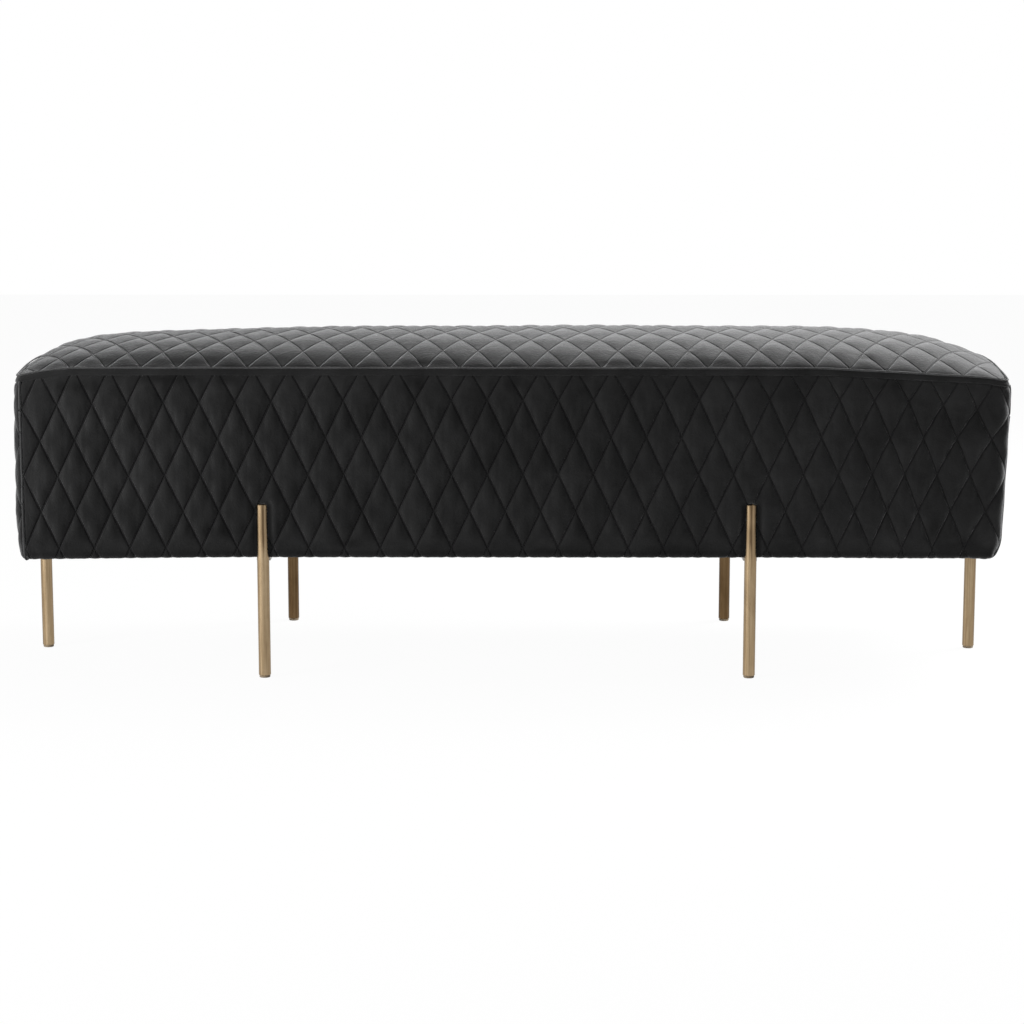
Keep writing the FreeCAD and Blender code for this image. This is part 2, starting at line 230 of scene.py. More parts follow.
def around_rods(x, y, z):
    """The cloth passes behind each leg, and closes again above it."""
    near = 1 - smooth((z - ROD_TOP + 0.6) / 1.6)
    dip_fade = 1 - smooth((z - ROD_TOP + 4) / 14)
    clear = ROD + ROD_GAP
    for rod_x, rod_y in RODS:
        on_end = rod_y == 0
        outward = np.sign(rod_x if on_end else rod_y)
        if on_end:
            side, out = (y - rod_y) * outward, (x - rod_x) * outward
        else:
            side, out = (x - rod_x) * -outward, (y - rod_y) * outward
        dip = DIP_DEPTH * spot(np.abs(side) - 11, 5) * (out > 0) * dip_fade
        angle = np.clip(side / WRAP_HALF_WIDTH, -1, 1) * WRAP_ANGLE
        held = (np.abs(side) < WRAP_HALF_WIDTH) & (out > 0) & (out < WRAP_DEPTH)
        new_side = np.where(held, side + near * (clear * np.sin(angle) - side), side)
        dipped = out - dip * (out < WRAP_DEPTH) * (np.abs(side) < DIP_REACH)
        new_out = np.where(held, out + near * (-clear * np.cos(angle) - out), dipped)
        distance = np.hypot(side, out)
        inside = (distance < clear) & (out <= 0)
        factor = 1 + near * (clear / np.maximum(distance, 0.5) - 1)
        new_side = np.where(inside, side * factor, new_side)
        new_out = np.where(inside, out * factor, new_out)
        beside = np.abs(side) < ROD_REACH
        if on_end:
            x = np.where(beside, rod_x + outward * new_out, x)
            y = np.where(beside, rod_y + outward * new_side, y)
        else:
            x = np.where(beside, rod_x - outward * new_side, x)
            y = np.where(beside, rod_y + outward * new_out, y)
    return x, y, z


def wall(s, v, h):
    """The side of the block: `s` round it, `v` up it, `h` out of it."""
    x, y, nx, ny = wall_line(s)
    low = BOTTOM + ROUND
    angle = np.clip((low - v) / ROUND, 0, math.pi / 2)
    under = np.clip(low - ROUND * math.pi / 2 - v, 0, None)
    z = np.where(v < low, low - ROUND * np.sin(angle), v)
    out = -ROUND * (1 - np.cos(angle)) - under
    out = out - HEM_TUCK * below(z, 185, 25) ** 2
    out = out - SEAM_INSET * past(z, 388, SEAM - 388) ** 2
    tuck = np.where(x > 0, RIGHT_HEM_TUCK, LEFT_HEM_TUCK + LEFT_MIDDLE_TUCK * mid_depth(y)) * np.abs(nx)
    tuck = tuck + CORNER_HEM_TUCK * np.abs(nx * ny)
    out = out - tuck * below(z, 188, 28) ** 2
    out = out + h * np.cos(angle)
    x = x + nx * out
    y = y + ny * out
    z = z - h * np.sin(angle) + 0.012 * under
    z = z - hem_sag(x, y) * below(z, 210, 45) ** 2 * below(under, 12, 12)
    z = z - seam_drop(x, y) * past(z, 300, SEAM - 300)
    return np.stack(around_rods(*warp(x, y, z)), axis=-1)


def crown(x, y):
    """Height of the top's dome above its sewn edge."""
    along = past(np.abs(x), 0, TOP_HALF_LENGTH)
    across = past(np.abs(y), 0, TOP_HALF_DEPTH)
    level = np.sqrt(across ** 2 + PEAK_ROUND ** 2) - PEAK_ROUND
    level = level / (math.sqrt(1 + PEAK_ROUND ** 2) - PEAK_ROUND)
    fall = 1 - 0.35 * level - 0.65 * across ** 3.5
    ends = 1 - 0.35 * along ** 4 - 0.65 * along ** np.where(x > 0, 12, 14)
    tilt = TOP_TILT * (x / HALF_LENGTH) * (1 - along ** 8) - LEFT_HOLLOW * spot(x + 440, 190)
    tilt = tilt + RIGHT_SWELL * spot(x - 430, 110)
    shoulder = END_SHOULDER * spot(x - 612, 26) * (1 - along ** 30) * (1 - across ** 2)
    return (CROWN + tilt) * fall * ends - shoulder


def top(x, y, h):
    """The top of the block: a domed sheet with rounded corners, `h` mm above the dome."""
    radius = CORNER - SEAM_INSET
    start_x = TOP_HALF_LENGTH - radius
    start_y = TOP_HALF_DEPTH - radius
    p = past(np.abs(x), start_x, radius)
    q = past(np.abs(y), start_y, radius)
    x = np.sign(x) * (np.minimum(np.abs(x), start_x) + radius * p * np.sqrt(1 - q * q / 2))
    y = y * (1 + ROW_SPREAD * (1 - past(np.abs(y), 0, 195) ** 6) * (q == 0))
    y = np.sign(y) * (np.minimum(np.abs(y), start_y) + radius * q * np.sqrt(1 - p * p / 2))
    step = 0.5
    slope_x = (crown(x + step, y) - crown(x - step, y)) / (2 * step)
    slope_y = (crown(x, y + step) - crown(x, y - step)) / (2 * step)
    size = np.sqrt(1 + slope_x ** 2 + slope_y ** 2)
    z = SEAM - seam_drop(x, y) + crown(x, y) + h / size
    x = x - h * slope_x / size
    y = y - h * slope_y / size
    return np.stack(warp(x, y, z), axis=-1)


# Objects and their points

def add_object(name, data):
    piece = bpy.data.objects.new(name, data)
    scene.collection.objects.link(piece)
    return piece


def mesh_object(name, points, faces):
    """A smooth mesh from points in mm."""
    data = bpy.data.meshes.new(name)
    data.from_pydata((np.asarray(points) * MM).tolist(), [], faces)
    data.polygons.foreach_set("use_smooth", [True] * len(data.polygons))
    data.update()
    return add_object(name, data)


def coordinates(data):
    values = np.empty(len(data.vertices) * 3)
    data.vertices.foreach_get("co", values)
    return values.reshape(-1, 3)


def set_coordinates(data, values):
    data.vertices.foreach_set("co", values.reshape(-1))
    data.update()


# Quilted sheets

def quilt_sheet(columns, rows, crossing, row, puff, on_wall):
    """A flat quilted sheet: its mesh follows the sewn lines, and each diamond is puffed.

    `columns` and `rows` are its limits in mesh steps from a crossing.
    """
    du, dv = PITCH / 2 / CELLS, row / CELLS
    mesh = bmesh.new()
    grid = {}
    low = (columns[0] + rows[0]) // 2 - 2
    high = (columns[1] + rows[1]) // 2 + 2
    for i in range(low, high + 1):
        for j in range((rows[0] - columns[1]) // 2 - 2, (rows[1] - columns[0]) // 2 + 3):
            if columns[0] - 1 <= i - j <= columns[1] + 1 and rows[0] - 1 <= i + j <= rows[1] + 1:
                grid[i, j] = mesh.verts.new((crossing[0] + (i - j) * du, crossing[1] + (i + j) * dv, 0))
    lattice = mesh.loops.layers.uv.new("quilt")
    for i, j in grid:
        corners = [(i, j), (i + 1, j), (i + 1, j + 1), (i, j + 1)]
        if all(corner in grid for corner in corners):
            mesh.faces.new([grid[corner] for corner in corners])
    limits = [(0, columns[0], -1), (0, columns[1], 1), (1, rows[0], -1), (1, rows[1], 1)]
    for axis, step, side in limits:
        place = [0.0, 0.0, 0.0]
        place[axis] = crossing[axis] + step * (du, dv)[axis]
        normal = [0.0, 0.0, 0.0]
        normal[axis] = side
        everything = mesh.verts[:] + mesh.edges[:] + mesh.faces[:]
        bmesh.ops.bisect_plane(mesh, geom=everything, dist=1e-3, plane_co=place,
                               plane_no=normal, clear_outer=True)
    loose = [vert for vert in mesh.verts if not vert.link_faces]
    bmesh.ops.delete(mesh, geom=loose, context="VERTS")
    crease = mesh.edges.layers.float.new("crease_edge")
    pin = mesh.verts.layers.deform.new()

    def place_of(vert):
        across = (vert.co.x - crossing[0]) / (PITCH / 2)
        up = (vert.co.y - crossing[1]) / row
        return (up + across) / 2, (up - across) / 2

    def on_line(value):
        return abs(value - round(value)) < 1e-3

    right = crossing[0] + columns[1] * du
    left = crossing[0] + columns[0] * du
    high_edge = crossing[1] + rows[1] * dv
    low_edge = crossing[1] + rows[0] * dv
    fullness = WALL_FULLNESS if on_wall else TOP_FULLNESS
    for vert in mesh.verts:
        a, b = place_of(vert)
        x, y = vert.co.x, vert.co.y
        room = min(1.0, min(x - left, right - x) / CORNER_FADE)
        room *= THIN_ABOVE + (1 - THIN_ABOVE) * min(1.0, (high_edge - y) / EDGE_FADE)
        up = smooth((y - BOTTOM - 7) / EDGE_FADE) if on_wall else min(1.0, (y - low_edge) / EDGE_FADE)
        room *= THIN_BELOW + (1 - THIN_BELOW) * up
        pillow = 1 - abs(2 * (a - math.floor(a)) - 1) ** fullness
        pillow *= 1 - abs(2 * (b - math.floor(b)) - 1) ** fullness
        edge = any(edge.is_boundary for edge in vert.link_edges)
        sewn = on_line(a) or on_line(b)
        vert.co.z = 0.0 if edge or sewn else puff * pillow * max(0.0, room)
        vert[pin][0] = 1.0 if edge or sewn else 0.0
    for edge in mesh.edges:
        (a0, b0), (a1, b1) = place_of(edge.verts[0]), place_of(edge.verts[1])
        along = on_line(a0) and on_line(a1) and abs(a0 - a1) < 1e-3
        along = along or (on_line(b0) and on_line(b1) and abs(b0 - b1) < 1e-3)
        edge[crease] = 0.85 if along else 0.0
    for face in mesh.faces:
        face.smooth = True
        for loop in face.loops:
            loop[lattice].uv = place_of(loop.vert)
    return mesh


def swell(piece, pressure, limit, spare):
    """Fill the sheet: cloth under pressure, held along every sewn line, with some cloth to spare."""
    before = coordinates(piece.data)
    set_coordinates(piece.data, before * MM)
    group = piece.vertex_groups.new(name="sewn")
    piece.vertex_groups.active = group
    cloth = piece.modifiers.new("filling", "CLOTH")
    settings = cloth.settings
    settings.vertex_group_mass = "sewn"
    settings.quality = 6
    settings.mass = 0.25
    settings.tension_stiffness = 12
    settings.compression_stiffness = 12
    settings.shear_stiffness = 4
    settings.bending_stiffness = 0.3
    settings.air_damping = 2
    settings.shrink_min = -spare
    settings.use_pressure = True
    settings.uniform_pressure_force = pressure
    settings.effector_weights.gravity = 0
    cloth.collision_settings.use_collision = False
    cloth.point_cache.frame_start = 1
    cloth.point_cache.frame_end = SWELLING_FRAMES
    for step in range(1, SWELLING_FRAMES + 1):
        scene.frame_set(step)
    graph = bpy.context.evaluated_depsgraph_get()
    filled = coordinates(piece.evaluated_get(graph).data) / MM
    piece.modifiers.remove(cloth)
    scene.frame_set(1)
    move = filled - before
    size = np.linalg.norm(move, axis=1, keepdims=True)
    move *= np.minimum(1.0, limit / np.maximum(size, 1e-9))
    set_coordinates(piece.data, before + move)


def refined(piece):
    """The sheet with one subdivision, its sewn lines kept crisp."""
    step = piece.modifiers.new("finer", "SUBSURF")
    step.levels = 1
    step.render_levels = 1
    step.uv_smooth = "NONE"
    graph = bpy.context.evaluated_depsgraph_get()
    data = bpy.data.meshes.new_from_object(piece.evaluated_get(graph))
    bpy.data.objects.remove(piece)
    return data


def quilt(name, columns, rows, crossing, row, puff, on_wall):
    """A quilted sheet, still flat: swelled and made finer."""
    mesh = quilt_sheet(columns, rows, crossing, row, puff, on_wall)
    data = bpy.data.meshes.new(name)
    mesh.to_mesh(data)
    mesh.free()
    piece = add_object(name, data)
    swell(piece, *(WALL_SWELLING if on_wall else TOP_SWELLING))
    return refined(piece)


# Laying the sheets on the block

def ripple(s, v):
    """Slight unevenness of the pulled cloth, in mm."""
    wave = 0.35 * np.sin(s / 61 + 1.3) * np.sin(v / 37 + s / 190)
    return wave + 0.25 * np.sin(s / 23 + v / 31 + 0.7)


def corner_folds(s, v):
    """Pleats where the cloth is gathered under the bottom corners."""
    low = below(v, 196, 26) ** 1.5
    folds = 0.0
    for corner in (straight + turn / 2, half_loop - straight - turn / 2):
        for offset in (0.0, half_loop):
            gap = gap_round(s, corner + offset)
            gap = gap + (v - 161) * 0.5 * np.sign(gap)
            folds = folds + spot(gap, 30) * np.cos(gap / 2.6)
    return FOLD_HEIGHT * low * folds


def pulled(u):
    """Where the long sheets' cloth lies along the block: pulled left, and gathered at the right."""
    right = u * (1 - u / 50000) - 12 * smooth((u - 470) / 190)
    return np.where(u < 0, 1.0165 * u, right)


def lifted(s, v, high):
    """Heights on the long sides: the rows are drawn up most in the middle and at the right."""
    upper = np.interp(s, UPPER_PLACES, UPPER_LIFTS)
    lower = np.interp(s, LOWER_PLACES, LOWER_LIFTS)
    third = SIDE_CROSSING[1]
    second = third - ROW
    first = BOTTOM + 12
    low_rows = v + lower * past(v, first, second - first)
    middle_rows = v + lower + (upper - lower) * (v - second) / (third - second)
    high_rows = third + upper + (v - third) * (BAND_LOW - third - upper) / (high - third)
    return np.where(v < second, low_rows, np.where(v < third, middle_rows, high_rows))


def level(s, v, high):
    """Heights on the ends, where the rows are level."""
    third = SIDE_CROSSING[1]
    return np.where(v < third, v, third + (v - third) * (BAND_LOW - third) / (high - third))


def lean(s, v):
    """How far the lower rows lean towards the left, near both ends of the long sides."""
    right = 6.0 * smooth((s - 430) / 150) * (1 - smooth((s - 605) / 40))
    left = 1.8 * smooth((-s - 430) / 130) * (1 - smooth((-s - 600) / 35))
    return -(right + left) * below(v, SIDE_CROSSING[1], 142)


def store_shade_and_spots(data, values):
    """Store how much painted shade and darkening of spots each point gets, from 0 to 1."""
    layer = data.attributes.new("pressed", "FLOAT", "POINT")
    layer.data.foreach_set("value", np.clip(values, 0, 1))


def spots(x, y, places):
    """Soft spots in the sheet, from a list of their places, sizes and depths."""
    total = 0.0
    for middle_x, middle_y, size_x, size_y, depth in places:
        total = total + depth * spot(x - middle_x, size_x, 4) * spot(y - middle_y, size_y)
    return total


def side_piece(name, data, place, shift, lift):
    """Lay a finished sheet on the side of the block, `shift` mm further round."""
    flat = coordinates(data)
    s, v, h = place(flat[:, 0]), flat[:, 1], flat[:, 2]
    ends = place(np.array([flat[:, 0].min(), flat[:, 0].max()])) + shift
    painted_shade_and_spots = 0.0
    if place is pulled:
        s = s + lean(s, v)
    v = lift(s, v, v.max())
    if place is pulled:
        painted_shade_and_spots = spots(s, v, SIDE_SPOTS)
    s = s + shift
    hem = -0.9 * spot(v - 167, 1.6)
    h = h + ripple(s, v) * past(v, 165, 25) + hem + corner_folds(s, v)
    # Painted shade along the crease above the hem.
    painted_shade_and_spots = painted_shade_and_spots + 0.5 * spot(v - 168, 3)
    for rod in RODS:
        gap = gap_round(s, rod_place(*rod))
        pressed = spot(gap, 13, 4) * (1 - smooth((v - ROD_TOP - 1) / 12))
        h = h * (1 - pressed) + 0.3 * pressed
        # Painted shade: a dark strip on each side of a leg, up to its top, where the leg shades the cloth.
        beside = spot(np.abs(gap) - 8.5, 5, 4) * (1 - smooth((v - ROD_TOP + 2) / 5))
        painted_shade_and_spots = np.maximum(painted_shade_and_spots, beside)
    tuck = spot(s - ends[0], 2.2) + spot(ends[1] - s, 2.2)
    tuck = tuck + 0.9 * spot(flat[:, 1].max() - flat[:, 1], 2.0)
    h = h - 1.3 * tuck
    store_shade_and_spots(data, painted_shade_and_spots)
    set_coordinates(data, wall(s, v, h) * MM)
    data.name = name
    return add_object(name, data)


def top_piece():
    """The top's sheet: its edge pulled down, dents beside the front seam, and painted shade in the dents,
    along the front seam, over the left half and towards the rear.
    """
    row = 2 * TOP_HALF_DEPTH / TOP_ROWS[1] * CELLS
    data = quilt("top_sheet", TOP_COLUMNS, TOP_ROWS, TOP_CROSSING, row, TOP_PUFF, False)
    x, y, h = coordinates(data).T
    h = h + 0.8 * np.sin(x / 83 + 0.4) * np.sin(y / 59 + x / 210)
    border = np.minimum(TOP_HALF_LENGTH - np.abs(x), TOP_HALF_DEPTH - np.abs(y))
    h = h - 1.2 * spot(border, 2.5)
    front_gap = y + TOP_HALF_DEPTH
    dents = spots(x, front_gap, TOP_DENTS)
    h = h - 1.6 * dents
    # Painted shade: a band along the front seam, wider to the left, the dents, the left half and a strip at
    # the rear.
    shaded = 15 + 20 * smooth((-60 - x) / 400)
    painted_shade_and_spots = 0.75 * dents + 0.8 * spot(front_gap, shaded)
    painted_shade_and_spots = painted_shade_and_spots + 0.75 * smooth((200 - x) / 760) + 0.28 * smooth((front_gap - 230) / 120)
    store_shade_and_spots(data, painted_shade_and_spots)
    set_coordinates(data, top(x, y, h) * MM)
    return add_object("quilted_top", data)


side_du = PITCH / 2 / CELLS
long_sheet = quilt("long_sheet", LONG_COLUMNS, WALL_ROWS, SIDE_CROSSING, ROW, SIDE_PUFF, True)
front_start, front_end = (float(pulled(SIDE_CROSSING[0] + steps * side_du)) for steps in LONG_COLUMNS)
end_span = half_loop + front_start - front_end
end_steps = round(end_span / side_du)
end_sheet = quilt("end_sheet", (0, end_steps), WALL_ROWS, (0.0, SIDE_CROSSING[1]), ROW, END_PUFF, True)


def on_end(u):
    """Where the end sheets' cloth lies, from one front corner seam to the rear one."""
    return front_end + u * end_span / (end_steps * side_du)


quilted = {}
quilted["rear"] = side_piece("quilted_rear", long_sheet.copy(), pulled, half_loop, lifted)
quilted["front"] = side_piece("quilted_front", long_sheet, pulled, 0.0, lifted)
quilted["end_left"] = side_piece("quilted_end_left", end_sheet.copy(), on_end, half_loop, level)
quilted["end_right"] = side_piece("quilted_end_right", end_sheet, on_end, 0.0, level)
quilted["top"] = top_piece()


# Strips and seams that run round the block

def loft(name, rings, closed_along, closed_across):
    """A quad skin over rows of points: rings[i][j] in mm."""
    rings = np.asarray(rings)
    count, size = rings.shape[:2]
    faces = []
    for i in range(count if closed_along else count - 1):
        after = (i + 1) % count
        for j in range(size if closed_across else size - 1):
            beside = (j + 1) % size
            faces.append((i * size + j, after * size + j, after * size + beside, i * size + beside))
    return mesh_object(name, rings.reshape(-1, 3), faces)


def tube(name, path, radius, closed, sides=8):
    """A round seam ridge along a row of points in mm, with `radius` for each."""
    path = np.asarray(path)
    if closed:
        along = np.roll(path, -1, axis=0) - np.roll(path, 1, axis=0)
    else:
        along = np.gradient(path, axis=0)
    along /= np.linalg.norm(along, axis=1, keepdims=True)
    outward = path - path.mean(axis=0)
    outward -= along * (outward * along).sum(axis=1, keepdims=True)
    outward /= np.linalg.norm(outward, axis=1, keepdims=True)
    other = np.cross(along, outward)
    angles = (np.arange(sides) * 2 * math.pi / sides)[None, :, None]
    radius = np.broadcast_to(radius, (len(path),))[:, None, None]
    rings = path[:, None] + radius * (np.cos(angles) * outward[:, None] + np.sin(angles) * other[:, None])
    return loft(name, rings, closed, True)


def edge_band():
    """The plain strip between the quilted sides and the top, slightly puffed."""
    steps = np.arange(0, 2 * half_loop, 2.4)
    start = BAND_LOW - 0.4
    rows = []
    for share in np.linspace(0, 1, 7):
        bow = math.sin(math.pi * share)
        puff = 0.9 * bow ** 0.6 + 0.25 * np.sin(steps / 9.0) * bow
        tucked = -1.6 if share in (0.0, 1.0) else 0.0
        rows.append(wall(steps, start + share * (SEAM - start), puff + tucked))
    return loft("edge_band", np.stack(rows, axis=1), True, False)


def seam_ridge():
    """The sewn ridge above the edge band."""
    steps = np.arange(0, 2 * half_loop, 2.4)
    path = wall(steps, SEAM + 0.3, 1.1 + 0.15 * np.sin(steps / 17))
    return tube("seam_ridge", path, 1.05 + 0.1 * np.sin(steps / 13), True)


def corner_seam(name, s):
    """One upright seam of the cover, `s` mm round the block."""
    heights = np.linspace(BOTTOM - 6, BAND_LOW + 1, 110)
    path = wall(np.full(len(heights), s), heights, 0.5 + 0.2 * np.sin(heights / 11))
    return tube("corner_seam_" + name, path, 1.6 + 0.12 * np.sin(heights / 9), False)


def stitches(name, s, v, h, length, thickness):
    """A row of short threads lying on the wall along its length."""
    sides = 6
    profile = ((0.0, 0.35), (0.25, 0.9), (0.75, 0.9), (1.0, 0.35))
    points = []
    faces = []
    for place in s:
        along = np.array([place - length / 2, place, place + length / 2])
        start, middle, end = wall(along, np.full(3, v), np.array([h - 0.5, h, h - 0.5]))
        axis = (end - start) / np.linalg.norm(end - start)
        outward = middle - (start + end) / 2
        outward -= axis * outward.dot(axis)
        outward /= np.linalg.norm(outward)
        other = np.cross(axis, outward)
        base = len(points)
        for share, width in profile:
            centre = start + share * (end - start) + outward * 0.5 * math.sin(math.pi * share)
            for corner in range(sides):
                turned = corner * 2 * math.pi / sides
                spoke = math.cos(turned) * outward + math.sin(turned) * other
                points.append(centre + thickness / 2 * width * spoke)
        for ring in range(len(profile) - 1):
            first = base + ring * sides
            for corner in range(sides):
                beside = (corner + 1) % sides
                faces.append((first + corner, first + beside,
                              first + sides + beside, first + sides + corner))
        last = base + (len(profile) - 1) * sides
        faces.append(tuple(base + corner for corner in reversed(range(sides))))
        faces.append(tuple(last + corner for corner in range(sides)))
    return mesh_object(name, points, faces)


band = edge_band()
ridge = seam_ridge()
corner_seams = [corner_seam("front_left", front_start), corner_seam("front_right", front_end),
                corner_seam("rear_right", front_start + half_loop),
                corner_seam("rear_left", front_end + half_loop)]
band_stitches = stitches("band_stitches", np.arange(0, 2 * half_loop, 3.6), BAND_LOW + 1.3, 0.35, 2.7, 0.6)


# Dust cover: thin cloth stapled under the block, hanging slightly between its staples

DUST_LENGTH = 1247.0
DUST_DEPTH = 349.0
DUST_TOP = 160.75
DUST_SAG = 2.4


def dust_sheet():
    xs = np.linspace(-DUST_LENGTH / 2, DUST_LENGTH / 2, 157)
    ys = np.linspace(-DUST_DEPTH / 2, DUST_DEPTH / 2, 45)
    x, y = np.meshgrid(xs, ys, indexing="ij")
    between_staples = np.clip(1 - (y / 105) ** 2, 0, 1)
    sag = DUST_SAG * np.clip(1 - (x / 540) ** 4, 0, 1) * between_staples
    drift = 0.3 * np.sin(x / 47 + y / 63) * between_staples
    pucker = 0.25 * np.sin(x / 11.5 + 0.6 * np.sin(y / 40)) * past(np.abs(y), 140, 40)
    z = DUST_TOP - sag - drift - np.abs(pucker) * 0.6
    return loft("dust_sheet", np.stack([x, y, z], axis=-1), False, False)


dust = dust_sheet()
thick = dust.modifiers.new("thickness", "SOLIDIFY")
thick.thickness = 0.0003
thick.offset = 0


# Materials

def shader(name):
    material = bpy.data.materials.new(name)
    material.use_nodes = True
    tree = material.node_tree
    tree.nodes.clear()
    output = tree.nodes.new("ShaderNodeOutputMaterial")
    surface = tree.nodes.new("ShaderNodeBsdfPrincipled")
    tree.links.new(surface.outputs[0], output.inputs[0])
    return material, tree, surface


def maths(tree, operation, first, second=None, third=None, clamp=False):
    made = tree.nodes.new("ShaderNodeMath")
    made.operation = operation
    made.use_clamp = clamp
    for socket, value in zip(made.inputs, (first, second, third)):
        if value is None:
            continue
        if isinstance(value, (int, float)):
            socket.default_value = value
        else:
            tree.links.new(value, socket)
    return made.outputs[0]


def noise(tree, scale, detail, roughness, distortion=0.0, stretch=(1, 1, 1)):
    mapping = tree.nodes.new("ShaderNodeMapping")
    mapping.inputs["Scale"].default_value = stretch
    tree.links.new(tree.nodes.new("ShaderNodeTexCoord").outputs["Object"], mapping.inputs["Vector"])
    made = tree.nodes.new("ShaderNodeTexNoise")
    made.inputs["Scale"].default_value = scale
    made.inputs["Detail"].default_value = detail
    made.inputs["Roughness"].default_value = roughness
    made.inputs["Distortion"].default_value = distortion
    tree.links.new(mapping.outputs[0], made.inputs["Vector"])
    return made.outputs["Fac"]


def ramp(tree, value, stops):
    made = tree.nodes.new("ShaderNodeValToRGB")
    elements = made.color_ramp.elements
    while len(elements) < len(stops):
        elements.new(0.5)
    for element, (place, colour) in zip(elements, stops):
        element.position = place
        element.color = (*colour, 1.0)
    tree.links.new(value, made.inputs[0])
    return made.outputs["Color"]


def bump(tree, height, strength, distance, normal=None):
    made = tree.nodes.new("ShaderNodeBump")
    made.inputs["Strength"].default_value = strength
    made.inputs["Distance"].default_value = distance
    tree.links.new(height, made.inputs["Height"])
    if normal is not None:
        tree.links.new(normal, made.inputs["Normal"])
    return made.outputs[0]


def over(tree, share, colour, shade):
    """A plain shade laid over a colour, by a share."""
    made = tree.nodes.new("ShaderNodeMix")
    made.data_type = "RGBA"
    tree.links.new(share, made.inputs["Factor"])
    tree.links.new(colour, made.inputs[6])
    made.inputs[7].default_value = (*shade, 1.0)
    return made.outputs[2]


def facing_away(tree, blend, normal=None):
    """0 where a surface faces the eye, rising to 1 at its rim."""
    made = tree.nodes.new("ShaderNodeLayerWeight")
    made.inputs["Blend"].default_value = blend
    if normal is not None:
        tree.links.new(normal, made.inputs["Normal"])
    return made.outputs["Facing"]


VELVET_LOW = (0.0100, 0.0100, 0.0101)
VELVET_HIGH = (0.0205, 0.0205, 0.0207)
# Grey of the painted sheen at grazing angles
PAINTED_SHEEN_GREY = (0.157, 0.157, 0.158)
# Near-black of the painted shade and the darker spots
PAINTED_SHADE_AND_SPOTS = (0.003, 0.003, 0.003)
# Near-black of the painted shade in the sewn grooves
PAINTED_GROOVE_SHADE = (0.0035, 0.0035, 0.0038)


def velvet_tone(tree):
    """Brushed patches, streaks down the cloth and its nap, as one value."""
    brushed = noise(tree, 9.0, 5.0, 0.55, 1.6)
    streaks = noise(tree, 26.0, 3.0, 0.6, 0.8, stretch=(1.0, 1.0, 0.45))
    nap = noise(tree, 330.0, 2.0, 0.6)
    tone = maths(tree, "ADD", maths(tree, "MULTIPLY", brushed, 0.6), maths(tree, "MULTIPLY", streaks, 0.25))
    return maths(tree, "ADD", tone, maths(tree, "MULTIPLY", nap, 0.15))


def sewn_lines(tree):
    """Where the sewn lines run between the diamonds, broken by their stitches."""
    diamonds = tree.nodes.new("ShaderNodeUVMap")
    diamonds.uv_map = "quilt"
    split = tree.nodes.new("ShaderNodeSeparateXYZ")
    tree.links.new(diamonds.outputs[0], split.inputs[0])
    first, second = split.outputs[0], split.outputs[1]
    lines = []
    for across, along in ((first, second), (second, first)):
        gap = maths(tree, "MULTIPLY", maths(tree, "PINGPONG", across, 0.5), LINE_GAP)
        line = maths(tree, "SUBTRACT", 1.2, maths(tree, "MULTIPLY", gap, 0.6), clamp=True)
        stitch = maths(tree, "SINE", maths(tree, "MULTIPLY", along, DIAMOND_SIDE * 2 * math.pi / STITCH))
        stitch = maths(tree, "MULTIPLY_ADD", stitch, 0.5, 0.5)
        lines.append(maths(tree, "MULTIPLY", line, maths(tree, "MULTIPLY_ADD", stitch, -0.45, 1.0)))
    return maths(tree, "MAXIMUM", lines[0], lines[1])


def velvet(name, quilting, shade=1.0):
    """Short-pile velvet: brushed patches, a fine pile, and a painted sheen that turns the colour paler at
    grazing angles.

    The points' "pressed" value says where painted shade and darker spots darken the colour.
    """
    material, tree, surface = shader(name)
    tone = velvet_tone(tree)
    low = tuple(shade * part for part in VELVET_LOW)
    high = tuple(shade * part for part in VELVET_HIGH)
    colour = ramp(tree, tone, [(0.36, low), (0.64, high)])
    normal = bump(tree, noise(tree, 620.0, 4.0, 0.75), 0.45, 0.0009)
    normal = bump(tree, tone, 0.5, 0.006, normal)
    # Painted sheen: the colour turns paler towards the rim, where the surface faces away from the eye.
    painted_sheen_share = maths(tree, "POWER", facing_away(tree, 0.5, normal), 2.1)
    painted_sheen_share = maths(tree, "MULTIPLY", painted_sheen_share, maths(tree, "MULTIPLY_ADD", tone, 0.5, 0.75))
    colour = over(tree, painted_sheen_share, colour, PAINTED_SHEEN_GREY)
    # The pressed value lays painted shade and darker spots over the colour.
    pressed = tree.nodes.new("ShaderNodeAttribute")
    pressed.attribute_name = "pressed"
    colour = over(tree, maths(tree, "MULTIPLY", pressed.outputs["Fac"], 0.7), colour, PAINTED_SHADE_AND_SPOTS)
    if quilting:
        lines = sewn_lines(tree)
        # Painted shade in the sewn grooves, broken where the stitches lie.
        colour = over(tree, maths(tree, "MULTIPLY", lines, 0.56), colour, PAINTED_GROOVE_SHADE)
        normal = bump(tree, maths(tree, "MULTIPLY", lines, -1.0), 0.9, 0.0018, normal)
    tree.links.new(colour, surface.inputs["Base Color"])
    tree.links.new(maths(tree, "MULTIPLY_ADD", tone, 0.2, 0.78), surface.inputs["Roughness"])
    tree.links.new(normal, surface.inputs["Normal"])
    surface.inputs["Specular IOR Level"].default_value = 0.12
    surface.inputs["Sheen Weight"].default_value = 0.35
    surface.inputs["Sheen Roughness"].default_value = 0.3
    surface.inputs["Sheen Tint"].default_value = (0.98, 0.99, 1.0, 1.0)
    return material


